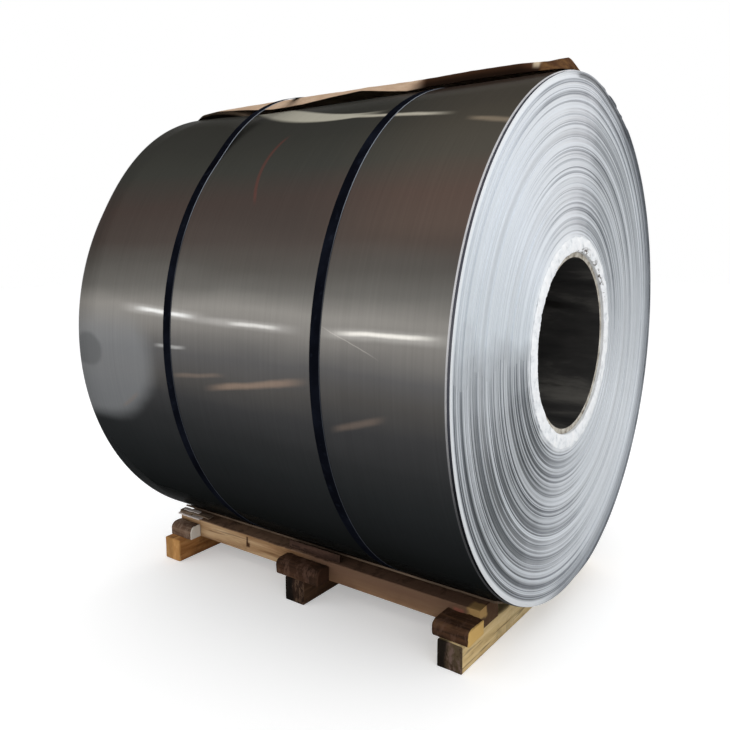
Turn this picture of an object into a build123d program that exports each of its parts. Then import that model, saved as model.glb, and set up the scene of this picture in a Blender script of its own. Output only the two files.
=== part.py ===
from build123d import *
import os
from math import acos, atan, cos, degrees, radians, sin, sqrt, tan

# A wound steel coil lying on a timber skid. Sizes are in millimetres.
# X runs along the coil's axis, -Y is the side with the loose paper's front edge, Z is up from the floor.

# The coil
strip_width = 1350
coil_radius = 770
bore_radius = 254
sleeve_wall = 15
sleeve_recess = 6
clearance = 0.3

# The outermost laps lie skewed on the coil: sunk at the front of the near end and proud at its back
lap_depth = 3
lap_skew = 18
lap_shift = 5

# Groups of turns stand out from their neighbours on the ends, as steps
step_count = 6
step_depth = 2
plain_turns = 33

# Crumpled wrap round the mouth of the bore
wrap_width = 42
wrap_depth = 6
wrap_chamfer = 2.5

# Steel straps. The far one stands off the shell at the top, where it runs over the paper
strap_width = 32
strap_thickness = 1.2
far_strap_x = -261
far_strap_lean = 16
far_strap_twist = -16
near_strap_x = 292
near_strap_lean = 15
slack_rise = 42
slack_radius = 670

# Kraft paper over the top, creased across. For each crease: its distance from the coil's far face,
# the angle and lift of the paper's front edge, the angle of its crest and how far the crest sinks
paper_thickness = 0.5
paper_creases = [
    (12, 15, 27, 9, 4),
    (70, 12, 30, 7, 1),
    (180, 10.7, 24, 7, 0),
    (325, 10.7, 13, 7, 0),
    (460, 10.7, 15, 7, 0),
    (590, 10.7, 24, 7, 1),
    (705, 10.7, 29, 7, 1),
    (800, 10.7, 16, 7, 3),
    (870, 10.7, 7, 8, 5),
    (940, 10.7, 10, 10, 4),
    (1080, 10.7, 12, 10, 2),
    (1230, 10.7, 10, 10, 3),
    (1300, 10.5, 8, 9, 8),
    (1335, 9, 6, 4, 1),
    (1347, 8, 4, 4, 24),
]
paper_back_angles = (14, 27)
paper_edge_angle = 38

# The skid
bearer_width = 76
bearer_height = 80
skid_inset = 64
skid_shift = -32
bearer_middle_shift = -7
bearer_front_reach = {"bearer_far": 470, "bearer_middle": 448, "bearer_near": 488}
bearer_back_reach = 470
rail_width = 120
rail_outside_seat = 86
rail_height = 63
coil_over_bearers = 8
seat_angle = 22.5
timber_chamfer = 2

# Board strips between the coil and the rails
pad_thickness = 6
pad_inner = 34
pad_outer = 52
pad_past_rail_far = 14
pad_past_rail_near = 25

# Chocks: length, overhang past the bearer's near side, depth from the rail, height
chock_sizes = {
    "far": (107, 29, 54, 48),
    "middle": (176, 59, 64, 52),
    "near": (115, 16, 94, 45),
}
chock_edge_share = 0.55
chock_crown_share = 0.4
wane_across = 0.3
wane_up = 0.68

axis_height = bearer_height + coil_over_bearers + coil_radius
strap_outer = coil_radius + clearance + strap_thickness
coil_bore = bore_radius + sleeve_wall + clearance
coil_middle = -lap_shift
coil_far_face = coil_middle - strip_width / 2
coil_near_face = coil_middle + strip_width / 2
shell_radius = coil_radius - lap_depth
wrap_inner = coil_bore + clearance
slack_centre = coil_radius + slack_rise - slack_radius
rail_length = strip_width - 2 * skid_inset
skid_middle = coil_middle + skid_shift
bearer_pitch = (rail_length - bearer_width) / 2

# The line where the front board strip seats on its rail, measured from the coil's axis
seat_radius = strap_outer + clearance + pad_thickness
seat_y = -seat_radius * sin(radians(seat_angle))
seat_z = axis_height - seat_radius * cos(radians(seat_angle))
rail_outer_y = seat_y - rail_outside_seat


def turned(outline):
    """Turn a closed (x, radius) outline about the coil's axis."""
    face = make_face(Polyline(*outline, close=True))
    return Pos(0, 0, axis_height) * revolve(face, Axis.X, 360)


def end_outline(face_x, outward):
    """Points of one end of the coil from the bore outwards, with its steps."""
    sunk = face_x - outward * step_depth
    first = wrap_inner + wrap_width + plain_turns
    pitch = (shell_radius - first) / step_count
    points = [(face_x, coil_bore)]
    for index in range(step_count):
        radius = first + index * pitch
        levels = (face_x, sunk) if index % 2 == 0 else (sunk, face_x)
        points += [(level, radius) for level in levels]
    points.append((face_x, shell_radius))
    return points


def coil():
    near = end_outline(coil_near_face, 1)
    far = end_outline(coil_far_face, -1)
    return turned(near + far[::-1])


def cut_to_width(solid, width, lean, twist=0):
    """Keep what lies in a slab across the axis that leans to the front and to the top."""
    turn = Rot(Y=degrees(atan(twist / coil_radius)), Z=degrees(atan(lean / coil_radius)))
    slab = turn * Box(width, coil_radius * 3, coil_radius * 3)
    return Pos(0, 0, axis_height) * (solid & slab)


def outer_laps():
    """The last laps as one tube, cut off square to their own skewed line."""
    tube = Cylinder(coil_radius, strip_width * 2, rotation=(0, 90, 0))
    tube -= Cylinder(shell_radius, strip_width * 2, rotation=(0, 90, 0))
    return cut_to_width(tube, strip_width, -lap_skew)


def core_sleeve():
    near = coil_near_face - sleeve_recess
    far = coil_far_face + sleeve_recess
    outer = bore_radius + sleeve_wall
    return turned([(near, bore_radius), (near, outer), (far, outer), (far, bore_radius)])


def bore_wrap_edge():
    near = coil_near_face + clearance
    band = Pos(near + wrap_depth / 2, wrap_inner + wrap_width / 2) * Rectangle(wrap_depth, wrap_width)
    band = chamfer(band.vertices().group_by(Axis.X)[-1], wrap_chamfer)
    return Pos(0, 0, axis_height) * revolve(band, Axis.X, 360)


def slack_outline(offset):
    """The far strap's loop: round the coil, then straight up to a tighter curve over the paper."""
    outer = coil_radius + offset
    tight = slack_radius + offset
    spread = acos((coil_radius - slack_radius) / slack_centre)
    low = (outer * sin(spread), outer * cos(spread))
    high = (tight * sin(spread), slack_centre + tight * cos(spread))
    sides = Polyline((-low[0], low[1]), (-high[0], high[1]), high, low, close=True)
    return Circle(outer) + make_face(sides) + Pos(0, slack_centre) * Circle(tight)


def slack_lift(angle):
    """How far the underside of the far strap's loop stands off the shell at this angle."""
    across = slack_centre * sin(radians(angle))
    along = slack_centre * cos(radians(angle))
    return along + sqrt((slack_radius + clearance) ** 2 - across ** 2) - coil_radius


def strap_band(outline):
    inner = outline(clearance)
    outer = outline(clearance + strap_thickness)
    ring = Plane.YZ.offset(-strap_width * 2) * (outer - inner)
    return extrude(ring, strap_width * 4)


def strap(place, outline, lean, twist=0):
    return Pos(coil_middle + place, 0, 0) * cut_to_width(strap_band(outline), strap_width, lean, twist)


def round_outline(offset):
    return Circle(coil_radius + offset)


def paper_line(front_angle, front_lift, crest_angle, crest_sink):
    """Angle and lift of the paper's underside at each fold from its front edge to its back one."""
    seat = paper_thickness + clearance
    points = [(-front_angle, front_lift)]
    points.append((-crest_angle, slack_lift(crest_angle) - seat - crest_sink))
    points.append((0, slack_lift(0) - seat - crest_sink))
    points += [(angle, slack_lift(angle) - seat) for angle in paper_back_angles]
    points.append((paper_edge_angle, strap_outer + clearance - coil_radius))
    return points


def paper_section(along, *crease):
    """The paper cut across at one distance from the coil's far face."""
    line = paper_line(*crease)
    ring = [(coil_radius + lift, radians(angle)) for angle, lift in line]
    under = [(radius * sin(angle), radius * cos(angle)) for radius, angle in ring]
    thick = [(radius + paper_thickness, angle) for radius, angle in ring]
    over = [(radius * sin(angle), radius * cos(angle)) for radius, angle in thick]
    face = make_face(Polyline(*under, *over[::-1], close=True))
    return Plane.YZ.offset(coil_far_face + along) * face


def paper_sheet():
    """Loose creased paper over the coil, its front edge hanging in waves."""
    sections = [paper_section(*crease) for crease in paper_creases]
    return Pos(0, 0, axis_height) * loft(sections, ruled=True)


def bearer(x, front_reach):
    length = front_reach + bearer_back_reach
    timber = Box(bearer_width, length, bearer_height)
    timber = chamfer(timber.edges().filter_by(Axis.Y), timber_chamfer)
    return Pos(x, (bearer_back_reach - front_reach) / 2, bearer_height / 2) * timber


def rail():
    """The front rail, with a bevel where the coil's board strip seats."""
    top = bearer_height + rail_height
    inner = rail_outer_y + rail_width
    slope = tan(radians(seat_angle))
    bevel_top = seat_y - (top - seat_z) / slope
    bevel_low = seat_z - (inner - seat_y) * slope
    section = Polyline(
        (rail_outer_y, bearer_height),
        (rail_outer_y, top - timber_chamfer),
        (rail_outer_y + timber_chamfer, top),
        (bevel_top, top),
        (inner, bevel_low),
        (inner, bearer_height),
        close=True,
    )
    side = Plane.YZ.offset(skid_middle - rail_length / 2) * make_face(section)
    return extrude(side, rail_length)


def pad_strip():
    length = rail_length + pad_past_rail_far + pad_past_rail_near
    middle = skid_middle + (pad_past_rail_near - pad_past_rail_far) / 2
    drop = seat_radius - pad_thickness / 2
    board = Box(length, pad_inner + pad_outer, pad_thickness)
    placed = Pos(middle, (pad_inner - pad_outer) / 2, -drop) * board
    return Pos(0, 0, axis_height) * (Rot(X=-seat_angle) * placed)


def chock(bearer_x, length, overhang, depth, height):
    """A block rounded along its outer top edge, standing against the front rail."""
    near = bearer_x + bearer_width / 2 + overhang
    outer = rail_outer_y - depth
    edge = height * chock_edge_share
    crown = rail_outer_y - depth * chock_crown_share
    shoulder = (outer + (crown - outer) * wane_across, edge + (height - edge) * wane_up)
    round_over = ThreePointArc((crown, height), shoulder, (outer, edge))
    outline = [
        Line((rail_outer_y, 0), (rail_outer_y, height)),
        Line((rail_outer_y, height), (crown, height)),
        round_over,
        Line((outer, edge), (outer, 0)),
        Line((outer, 0), (rail_outer_y, 0)),
    ]
    side = Plane.YZ.offset(near - length) * make_face(outline)
    return Pos(0, 0, bearer_height) * extrude(side, length)


parts = {
    "coil": coil(),
    "outer_laps": outer_laps(),
    "core_sleeve": core_sleeve(),
    "bore_wrap_edge": bore_wrap_edge(),
    "strap_far": strap(far_strap_x, slack_outline, far_strap_lean, far_strap_twist),
    "strap_near": strap(near_strap_x, round_outline, near_strap_lean),
    "paper_sheet": paper_sheet(),
    "rail_front": rail(),
    "pad_strip_front": pad_strip(),
}
bearer_places = {"far": -bearer_pitch, "middle": bearer_middle_shift, "near": bearer_pitch}
for place, offset in bearer_places.items():
    x = skid_middle + offset
    parts["bearer_" + place] = bearer(x, bearer_front_reach["bearer_" + place])
    parts["chock_front_" + place] = chock(x, *chock_sizes[place])
    parts["chock_back_" + place] = mirror(parts["chock_front_" + place], about=Plane.XZ)
for name in ("rail", "pad_strip"):
    parts[name + "_back"] = mirror(parts[name + "_front"], about=Plane.XZ)

os.makedirs("parts", exist_ok=True)
for name, shape in parts.items():
    export_step(shape, "parts/" + name + ".step")
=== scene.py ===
import math
import random

import bmesh
import bpy
from mathutils import Matrix, Vector, noise


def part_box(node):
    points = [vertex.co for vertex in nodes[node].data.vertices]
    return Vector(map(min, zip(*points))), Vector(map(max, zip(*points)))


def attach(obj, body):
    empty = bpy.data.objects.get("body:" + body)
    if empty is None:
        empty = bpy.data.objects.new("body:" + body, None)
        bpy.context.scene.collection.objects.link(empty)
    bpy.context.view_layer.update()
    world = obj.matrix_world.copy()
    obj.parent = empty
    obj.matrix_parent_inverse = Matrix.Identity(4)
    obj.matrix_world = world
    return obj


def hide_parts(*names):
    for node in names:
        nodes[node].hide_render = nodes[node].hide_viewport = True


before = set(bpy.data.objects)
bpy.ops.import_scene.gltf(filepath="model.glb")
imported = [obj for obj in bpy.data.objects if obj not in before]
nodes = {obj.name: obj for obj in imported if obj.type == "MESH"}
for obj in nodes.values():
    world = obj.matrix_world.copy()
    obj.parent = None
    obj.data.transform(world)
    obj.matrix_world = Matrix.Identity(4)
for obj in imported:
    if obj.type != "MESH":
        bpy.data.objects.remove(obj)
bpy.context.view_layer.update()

# Where the coil lies, in metres, from the CAD
coil = {
    "axisZ": 0.858, "nearFace": 0.67, "farFace": -0.68, "segments": 192,
    "boreRadius": 0.254, "sleeveRadius": 0.269, "shellRadius": 0.767,
    "lapRadius": 0.77, "lapHalf": 0.675,
    # how the laps' edges shift along the axis: the far one by y, the near one
    # by height in front and by y at the back, and where front goes over into back
    "lapLean": 18 / 770, "frontTilt": 0.0117, "frontInset": 0.0065,
    "backLean": 0.0023, "frontBlend": (0.25, -0.15),
}


# Node helpers, which add to the tree at hand

work = {"tree": None}


def rgb(red, green, blue):
    # a screen colour, 0 to 255, as the linear one that sockets take
    values = [value / 255 for value in (red, green, blue)]
    return [v / 12.92 if v < 0.04 else ((v + 0.055) / 1.055) ** 2.4 for v in values] + [1]


def addNode(kind, inputs=None, **settings):
    tree = work["tree"]
    made = tree.nodes.new("ShaderNode" + kind)
    for name, value in settings.items():
        setattr(made, name, value)
    for socket, value in (inputs or {}).items():
        if isinstance(value, bpy.types.NodeSocket):
            tree.links.new(value, made.inputs[socket])
        else:
            made.inputs[socket].default_value = value
    return made


def calc(operation, first, second=0.0, third=0.0):
    return addNode("Math", {0: first, 1: second, 2: third}, operation=operation).outputs[0]


def mixColour(factor, first, second, mode="MIX"):
    made = addNode("Mix", {0: factor, 6: first, 7: second}, data_type="RGBA", blend_type=mode)
    return made.outputs[2]


def mixValue(factor, first, second):
    return addNode("Mix", {0: factor, 2: first, 3: second}, data_type="FLOAT").outputs[0]


def times(*factors):
    product = factors[0]
    for factor in factors[1:]:
        product = calc("MULTIPLY", product, factor)
    return product


def scaled(value, factor, start):
    return calc("MULTIPLY_ADD", value, factor, start)


def paint(colour, tint, *shares):
    # tint over colour, as strong as the shares' product
    return mixColour(times(*shares), colour, tint)


def darken(colour, shade):
    return mixColour(1.0, colour, shade, "MULTIPLY")


def toned(colour, tone):
    # colour times one grey value
    grey = addNode("CombineColor", {0: tone, 1: tone, 2: tone}).outputs[0]
    return darken(colour, grey)


def ramp(factor, stops):
    made = addNode("ValToRGB", {0: factor})
    elements = made.color_ramp.elements
    elements.remove(elements[1])
    elements[0].position = stops[0][0]
    elements[0].color = rgb(*stops[0][1])
    for position, colour in stops[1:]:
        elements.new(position).color = rgb(*colour)
    return made.outputs[0]


def fade(value, low, high):
    # 0 at low to 1 at high, with soft ends
    made = addNode("MapRange", {0: value, 1: low, 2: high}, interpolation_type="SMOOTHSTEP")
    return made.outputs[0]


def between(value, low, high, soft):
    # 1 inside low..high, fading out over soft
    rising = fade(value, low - soft, low)
    falling = fade(value, high + soft, high)
    return calc("MULTIPLY", rising, falling)


def objectPoint(scale=(1, 1, 1), shift=(0, 0, 0)):
    point = addNode("TexCoord").outputs["Object"]
    return addNode("Mapping", {0: point, 1: shift, 3: scale}).outputs[0]


def grain(point, scale, detail=4.0, roughness=0.5):
    made = addNode("TexNoise", {"Vector": point, "Scale": scale, "Detail": detail, "Roughness": roughness})
    return made.outputs["Fac"]


def bump(height, strength, distance):
    made = addNode("Bump", {"Height": height, "Strength": strength, "Distance": distance})
    return made.outputs[0]


def newMaterial(name, **uniform):
    material = bpy.data.materials.new(name)
    material.use_nodes = True
    work["tree"] = material.node_tree
    shader = material.node_tree.nodes["Principled BSDF"]
    for socket, value in uniform.items():
        shader.inputs[socket.replace("_", " ")].default_value = value
    return material, shader


def feed(shader, **values):
    # node outputs into the shader's sockets
    for socket, value in values.items():
        work["tree"].links.new(value, shader.inputs[socket.replace("_", " ")])


def overpaint(shader, tint, *shares):
    # tint over the colour that the shader already has
    colour = shader.inputs["Base Color"].links[0].from_socket
    feed(shader, Base_Color=paint(colour, tint, *shares))


def axisPoint():
    # x, y and height from the coil's axis
    point = objectPoint(shift=(0, 0, -coil["axisZ"]))
    return addNode("SeparateXYZ", {0: point}).outputs


def reach(first, second):
    # how far a point lies out, from its two distances
    return calc("SQRT", scaled(first, first, times(second, second)))


# The rolled steel of the shell: the hall that it mirrors is laid round the axis as bands.
# Places are x along the axis and turn, 0 at the top and 1 at the bottom; a pair is the
# start and end of a fade, and three numbers are low, high and softness.

shellLook = {
    "shader": {"Metallic": 0.22, "Specular_Tint": (0.25, 0.25, 0.25, 1), "IOR": 1.0},
    "bands": [
        (0.00, (46, 44, 41)), (0.10, (56, 55, 51)), (0.26, (63, 63, 59)), (0.31, (72, 63, 59)),
        (0.365, (74, 67, 63)), (0.395, (84, 81, 77)), (0.42, (102, 100, 96)), (0.443, (138, 135, 130)),
        (0.47, (129, 126, 122)), (0.50, (98, 97, 97)), (0.53, (84, 82, 80)), (0.56, (64, 64, 65)),
        (0.60, (50, 51, 52)), (0.64, (42, 44, 45)), (0.69, (35, 37, 38)), (0.74, (27, 29, 29)),
        (0.80, (18, 19, 18)), (1.00, (13, 13, 12)),
    ],
    "streaks": [
        # from and to along the axis, turn at each end, half width, strength, colour
        (0.10, 0.52, 0.160, 0.190, 0.0034, 0.75, (198, 192, 176)),
        (0.54, 0.72, 0.202, 0.222, 0.0038, 0.45, (158, 142, 122)),
        (-0.50, -0.06, 0.449, 0.456, 0.0050, 0.35, (214, 212, 208)),
        (-0.42, -0.12, 0.450, 0.455, 0.0022, 0.80, (246, 246, 244)),
        (-0.18, 0.28, 0.458, 0.460, 0.0040, 0.30, (214, 212, 208)),
        (-0.02, 0.20, 0.459, 0.460, 0.0018, 0.65, (238, 236, 232)),
        (0.28, 0.72, 0.460, 0.458, 0.0048, 0.35, (214, 212, 206)),
        (0.34, 0.66, 0.459, 0.457, 0.0020, 0.85, (248, 244, 236)),
        (-0.12, 0.30, 0.541, 0.512, 0.0036, 0.55, (168, 144, 126)),
        (0.33, 0.52, 0.564, 0.539, 0.0036, 0.45, (132, 116, 104)),
        (-0.26, 0.00, 0.531, 0.520, 0.0024, 0.35, (150, 132, 118)),
        (-0.32, -0.16, 0.495, 0.493, 0.0020, 0.50, (210, 210, 208)),
        (0.30, 0.50, 0.450, 0.484, 0.0006, 0.30, (212, 206, 198)),
        (-0.52, -0.40, 0.590, 0.560, 0.0030, 0.30, (132, 116, 104)),
    ],
    "streakWave": ((3, 9, 9), 3.0, 0.004), "streakSides": (1.7, 0.2), "streakEnds": 0.3,
    "bothSides": 200,  # streaks at least this blue show on the back too
    "waveStretch": (1.1, 3.5, 3.5), "waveScale": 1.6, "sway": 0.034,
    "frontSide": (0.02, -0.02),
    # painted reflection: warmer and brighter towards the near end, high up
    "warmReflection": (1.5, 1.36, 1.27, 1), "warmPlace": (0.15, 0.6), "warmTurns": (0.1, 0.34, 0.05),
    # ellipses: middle and half size along the axis and in turn, softness
    "farPatch": (-0.65, 0.52, 0.37, 0.105, 0.28), "farDisc": (-0.645, 0.508, 0.085, 0.027, 0.3),
    "farSheen": rgb(142, 144, 146), "sheenTurns": (0.44, 0.49), "sheenShare": 0.62,
    "discShade": rgb(96, 97, 98), "discShare": 0.6,
    # painted reflection of the paper's shaded underside, high on the shell towards the near end
    "paperReflection": rgb(44, 32, 26), "paperPlace": (0.1, 0.3), "paperTurns": (0.13, 0.09),
    "arc": {"turn": 0.24, "bend": -8.0, "place": 0.045, "width": (0.009, 0.002),
            "turns": (0.212, 0.3, 0.02), "share": 0.26, "colour": rgb(126, 62, 54)},
    "lines": {"stretch": (160, 2, 2), "noise": (1.0, 3.0, 0.6), "tone": (0.22, 0.89)},
    # painted highlight on the laps' sheared edges, stronger high up, and painted shade on the strip of
    # shell past them, darker low down
    "edge": rgb(222, 222, 226), "edgeInset": (0.0042, 0.003), "lapStart": (0.7683, 0.7687),
    "litTurns": (0.64, 0.4), "litShare": (0.75, 0.1),
    "gapShade": rgb(26, 26, 30), "gapLit": rgb(70, 72, 82), "gapTurns": (0.62, 0.5), "gapShare": 0.85,
    "smear": ((1.5, 9, 9), 3.0, 5.0), "roughness": 0.22, "smearRange": 0.12,
}
topBand = {
    # a curve of turn along the axis, its half width, its ends and how strong it is
    "colour": rgb(181, 177, 162), "curve": (-0.35, 0.13, 0.15), "sides": (1.25, 0.7),
    "wider": (0.28, -0.3), "half": (0.022, 0.004), "length": (-0.5, 0.12, 0.16),
    "brighter": (-0.45, 0.0), "strength": (0.42, 0.48),
}


def shellSteel():
    look = shellLook
    material, shader = newMaterial("rolledSteel", **look["shader"])
    x, y, z = axisPoint()
    front = fade(y, *look["frontSide"])
    side = calc("ABSOLUTE", y)
    turn = calc("DIVIDE", calc("ARCTAN2", side, z), math.pi)
    waves = grain(objectPoint(look["waveStretch"]), look["waveScale"], 3.0)
    mirrored = calc("ADD", turn, scaled(waves, look["sway"], -look["sway"] / 2))
    colour = ramp(mirrored, look["bands"])
    # the painted reflection made warmer and brighter towards the near end, high up
    warmer = darken(colour, look["warmReflection"])
    nearEnd = fade(x, *look["warmPlace"])
    colour = paint(colour, warmer, nearEnd, between(turn, *look["warmTurns"]))
    colour = farReflection(colour, x, mirrored, front)
    # painted reflection of the paper's shaded underside
    paperMirrored = times(fade(x, *look["paperPlace"]), fade(turn, *look["paperTurns"]))
    colour = paint(colour, look["paperReflection"], paperMirrored, 0.8)
    colour = topReflection(colour, x, turn, front)
    colour = lampStreaks(colour, x, turn, front)
    colour = scratches(colour, x, turn, front)
    colour = cutEdges(colour, (x, y, z), turn)
    stretch, scale, detail = look["smear"]
    smear = grain(objectPoint(stretch), scale, detail)
    rough = scaled(smear, look["smearRange"], look["roughness"] - look["smearRange"] / 2)
    feed(shader, Base_Color=colour, Roughness=rough)
    return material


def farReflection(colour, x, turn, front):
    # a pale patch low at the far end, with a round shade in it
    look = shellLook
    patch = times(roundPatch(x, turn, look["farPatch"]), front)
    below = fade(turn, *look["sheenTurns"])
    colour = paint(colour, look["farSheen"], patch, below, look["sheenShare"])
    disc = roundPatch(x, turn, look["farDisc"])
    return paint(colour, look["discShade"], disc, patch, look["discShare"])


def cutEdges(colour, point, turn):
    # the laps' sheared edges catch the light, and the strip past them lies in the dark
    look, (x, y, z) = shellLook, point
    frontShift = scaled(z, coil["frontTilt"], -coil["frontInset"])
    backShift = times(y, coil["backLean"])
    nearShift = mixValue(fade(y, *coil["frontBlend"]), backShift, frontShift)
    farShift = times(y, coil["lapLean"])
    shift = mixValue(fade(x, -0.01, 0.01), farShift, nearShift)
    cutLine = calc("ABSOLUTE", calc("SUBTRACT", x, shift))
    sheared = fade(cutLine, *(coil["lapHalf"] - inset for inset in look["edgeInset"]))
    onLap = fade(reach(y, z), *look["lapStart"])
    gapShade = mixColour(fade(turn, *look["gapTurns"]), look["gapShade"], look["gapLit"])
    colour = paint(colour, gapShade, calc("SUBTRACT", 1.0, onLap), look["gapShare"])
    lit = scaled(fade(turn, *look["litTurns"]), *look["litShare"])
    return paint(colour, look["edge"], sheared, onLap, lit, 0.75)


def topReflection(colour, x, turn, front):
    # pale band that climbs towards the paper at the far end
    look = topBand
    bend, slope, start = look["curve"]
    middle = scaled(x, scaled(x, bend, slope), start)
    off = calc("ABSOLUTE", calc("SUBTRACT", turn, middle))
    half = scaled(fade(x, *look["wider"]), *look["half"])
    band = fade(calc("DIVIDE", off, half), *look["sides"])
    dim = scaled(fade(x, *look["brighter"]), *look["strength"])
    return paint(colour, look["colour"], band, between(x, *look["length"]), dim, front)


def roundPatch(x, turn, ellipse):
    # 1 inside an ellipse of the unrolled shell
    centreX, centreTurn, halfX, halfTurn, soft = ellipse
    across = calc("DIVIDE", calc("SUBTRACT", x, centreX), halfX)
    around = calc("DIVIDE", calc("SUBTRACT", turn, centreTurn), halfTurn)
    return fade(reach(across, around), 1.0, 1.0 - soft)


def lampStreaks(colour, x, turn, front):
    # the hall's lamps and beams, drawn out along the shell
    stretch, scale, shake = shellLook["streakWave"]
    outer, inner = shellLook["streakSides"]
    shaken = scaled(grain(objectPoint(stretch), scale), shake, turn)
    for start, end, turnStart, turnEnd, half, strength, tint in shellLook["streaks"]:
        slope = (turnEnd - turnStart) / (end - start)
        line = scaled(x, -slope, shaken)
        level = turnStart - start * slope + shake / 2
        off = calc("ABSOLUTE", calc("SUBTRACT", line, level))
        ends = (end - start) * shellLook["streakEnds"]
        along = between(x, start + ends, end - ends, ends)
        shares = [fade(off, half * outer, half * inner), along, strength]
        if tint[2] < shellLook["bothSides"]:
            shares.append(front)
        colour = paint(colour, rgb(*tint), *shares)
    return colour


def scratches(colour, x, turn, front):
    # one faint reddish arc and fine rolling lines
    arc, lines = shellLook["arc"], shellLook["lines"]
    bend = calc("SUBTRACT", turn, arc["turn"])
    bow = scaled(times(bend, bend), arc["bend"], arc["place"])
    thin = fade(calc("ABSOLUTE", calc("ADD", x, bow)), *arc["width"])
    turns = between(turn, *arc["turns"])
    colour = paint(colour, arc["colour"], thin, turns, front, arc["share"])
    rolled = grain(objectPoint(lines["stretch"]), *lines["noise"])
    return toned(colour, scaled(rolled, *lines["tone"]))


# The ends, where every turn of the coil shows its edge. An angle is a share of a turn,
# 0 in front, 0.25 at the top and 0.5 at the back.

faceLook = {
    # painted light and shade by angle: the turns' edges catch the light in a fan of brighter and darker
    # sectors
    "fanOfLight": [
        (0.00, (172, 177, 182)), (0.03, (204, 211, 217)), (0.12, (216, 222, 229)), (0.21, (218, 221, 225)),
        (0.255, (200, 202, 207)), (0.29, (158, 162, 167)), (0.36, (150, 155, 160)), (0.43, (170, 175, 180)),
        (0.50, (194, 199, 204)), (0.58, (208, 213, 218)), (0.70, (205, 210, 215)), (0.76, (190, 194, 199)),
        (0.80, (160, 164, 169)), (0.84, (118, 122, 126)), (0.90, (98, 102, 105)), (0.95, (118, 122, 126)),
        (1.00, (170, 175, 180)),
    ],
    "roughness": 0.42, "wander": 0.05, "ringSway": 0.003,
    # noise across the turns: scale, detail, roughness and share of the tone
    "fine": (420.0, 3.0, 0.6), "fineShare": 0.16, "coarse": (60.0, 2.0, 0.6), "coarseShare": 0.11,
    "toneLevel": 0.905,
    # single lines: width and strength, where they are clear, and which share is dark or bright
    "pitch": 0.0026, "lines": [(0.0026, 0.72), (0.0047, 0.55)],
    "lineAngles": [(0.74, 0.97, 0.06), (0.2, 0.42, 0.08)], "clear": (0.7, 0.24),
    "dark": (0.7, 0.9), "darkLine": (0.4, 0.42, 0.45, 1),
    "bright": (0.3, 0.12), "brightLine": rgb(226, 231, 237), "brightShare": 0.8,
    # zones by radius: the outer turns' slope in painted shade, a painted highlight on the rim's front half,
    # painted shade in a gap and the film
    "slope": (0.5, 0.51, 0.53, 1), "slopeRadius": (0.714, 0.734), "slopeAngles": (0.36, 0.74, 0.05),
    "rimRadius": (0.748, 0.757), "rimFront": (0.02, 0.25),
    "partedShade": rgb(58, 60, 64), "partedRadius": (0.751, 0.762, 0.002), "partedAngles": (0.255, 0.34, 0.03),
    "film": rgb(238, 241, 244), "filmRadius": (0.343, 0.325), "filmRagged": 0.03, "filmScale": 22.0,
    "zoneShare": 0.75, "partedShare": 0.7,
}


def faceSteel():
    look = faceLook
    material, shader = newMaterial(
        "turnEdges", Metallic=0.35, IOR=1.15, Roughness=look["roughness"]
    )
    y, z = axisPoint()[1:]
    radius, front = reach(y, z), times(y, -1.0)
    angle = calc("DIVIDE", calc("ARCTAN2", z, front), 2 * math.pi)
    spiral = scaled(angle, look["pitch"], radius)
    wander = grain(objectPoint((1, 5, 5)), 2.0, 3.0)
    wander = scaled(wander, look["wander"], -look["wander"] / 2)
    angle = calc("FRACT", calc("ADD", angle, wander))
    # painted light and shade by angle round the face
    colour = ramp(angle, look["fanOfLight"])
    sway = times(calc("SINE", times(angle, 2 * math.pi)), look["ringSway"])
    rings = addNode("CombineXYZ", {0: radius, 1: sway}).outputs[0]
    fine, coarse = grain(rings, *look["fine"]), grain(rings, *look["coarse"])
    tone = scaled(coarse, look["coarseShare"], look["toneLevel"])
    colour = toned(colour, scaled(fine, look["fineShare"], tone))
    colour = turnLines(colour, spiral, angle)
    # painted shade on the outer turns' slope
    share, shaded = look["zoneShare"], darken(colour, look["slope"])
    zone = times(fade(radius, *look["slopeRadius"]), between(angle, *look["slopeAngles"]))
    colour = paint(colour, shaded, zone, share)
    # painted highlight along the rim's front half
    zone = times(fade(radius, *look["rimRadius"]), fade(front, *look["rimFront"]))
    colour = paint(colour, look["film"], zone, share)
    # painted shade in a gap near the rim
    zone = times(
        between(radius, *look["partedRadius"]), between(angle, *look["partedAngles"])
    )
    colour = paint(colour, look["partedShade"], zone, look["partedShare"])
    patches = grain(objectPoint(), look["filmScale"])
    ragged = scaled(patches, look["filmRagged"], radius)
    colour = paint(colour, look["film"], fade(ragged, *look["filmRadius"]), share)
    feed(shader, Base_Color=colour, Normal=bump(fine, 0.35, 0.0015))
    return material


def turnLines(colour, spiral, angle):
    # thin dark and bright turns, clearest where the fan of light is dark
    look = faceLook
    lower, upper = (between(angle, *angles) for angles in look["lineAngles"])
    clear = scaled(calc("MAXIMUM", lower, upper), *look["clear"])
    drift = grain(objectPoint(), 5.0, 2.0)
    for width, strength in look["lines"]:
        index = calc("FLOOR", calc("DIVIDE", spiral, width))
        chance = addNode("TexWhiteNoise", {"W": index}, noise_dimensions="1D").outputs["Value"]
        chance = scaled(drift, 0.3, calc("SUBTRACT", chance, 0.15))
        darker, dark = darken(colour, look["darkLine"]), fade(chance, *look["dark"])
        colour = paint(colour, darker, dark, clear, strength)
        bright = fade(chance, *look["bright"])
        colour = paint(colour, look["brightLine"], bright, clear, strength * look["brightShare"])
    return colour


# Plain finishes: each one is a colour range, how coarse its grain is and its gloss

plainLook = {
    "metallic": 0.0, "ior": 1.3, "bump": 0.4, "depth": 0.002, "stretch": (1, 1, 1),
    "speck": 0.3, "speckScale": 60.0, "speckStretch": (1, 1, 1), "speckRange": (0.58, 0.72),
}


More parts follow.
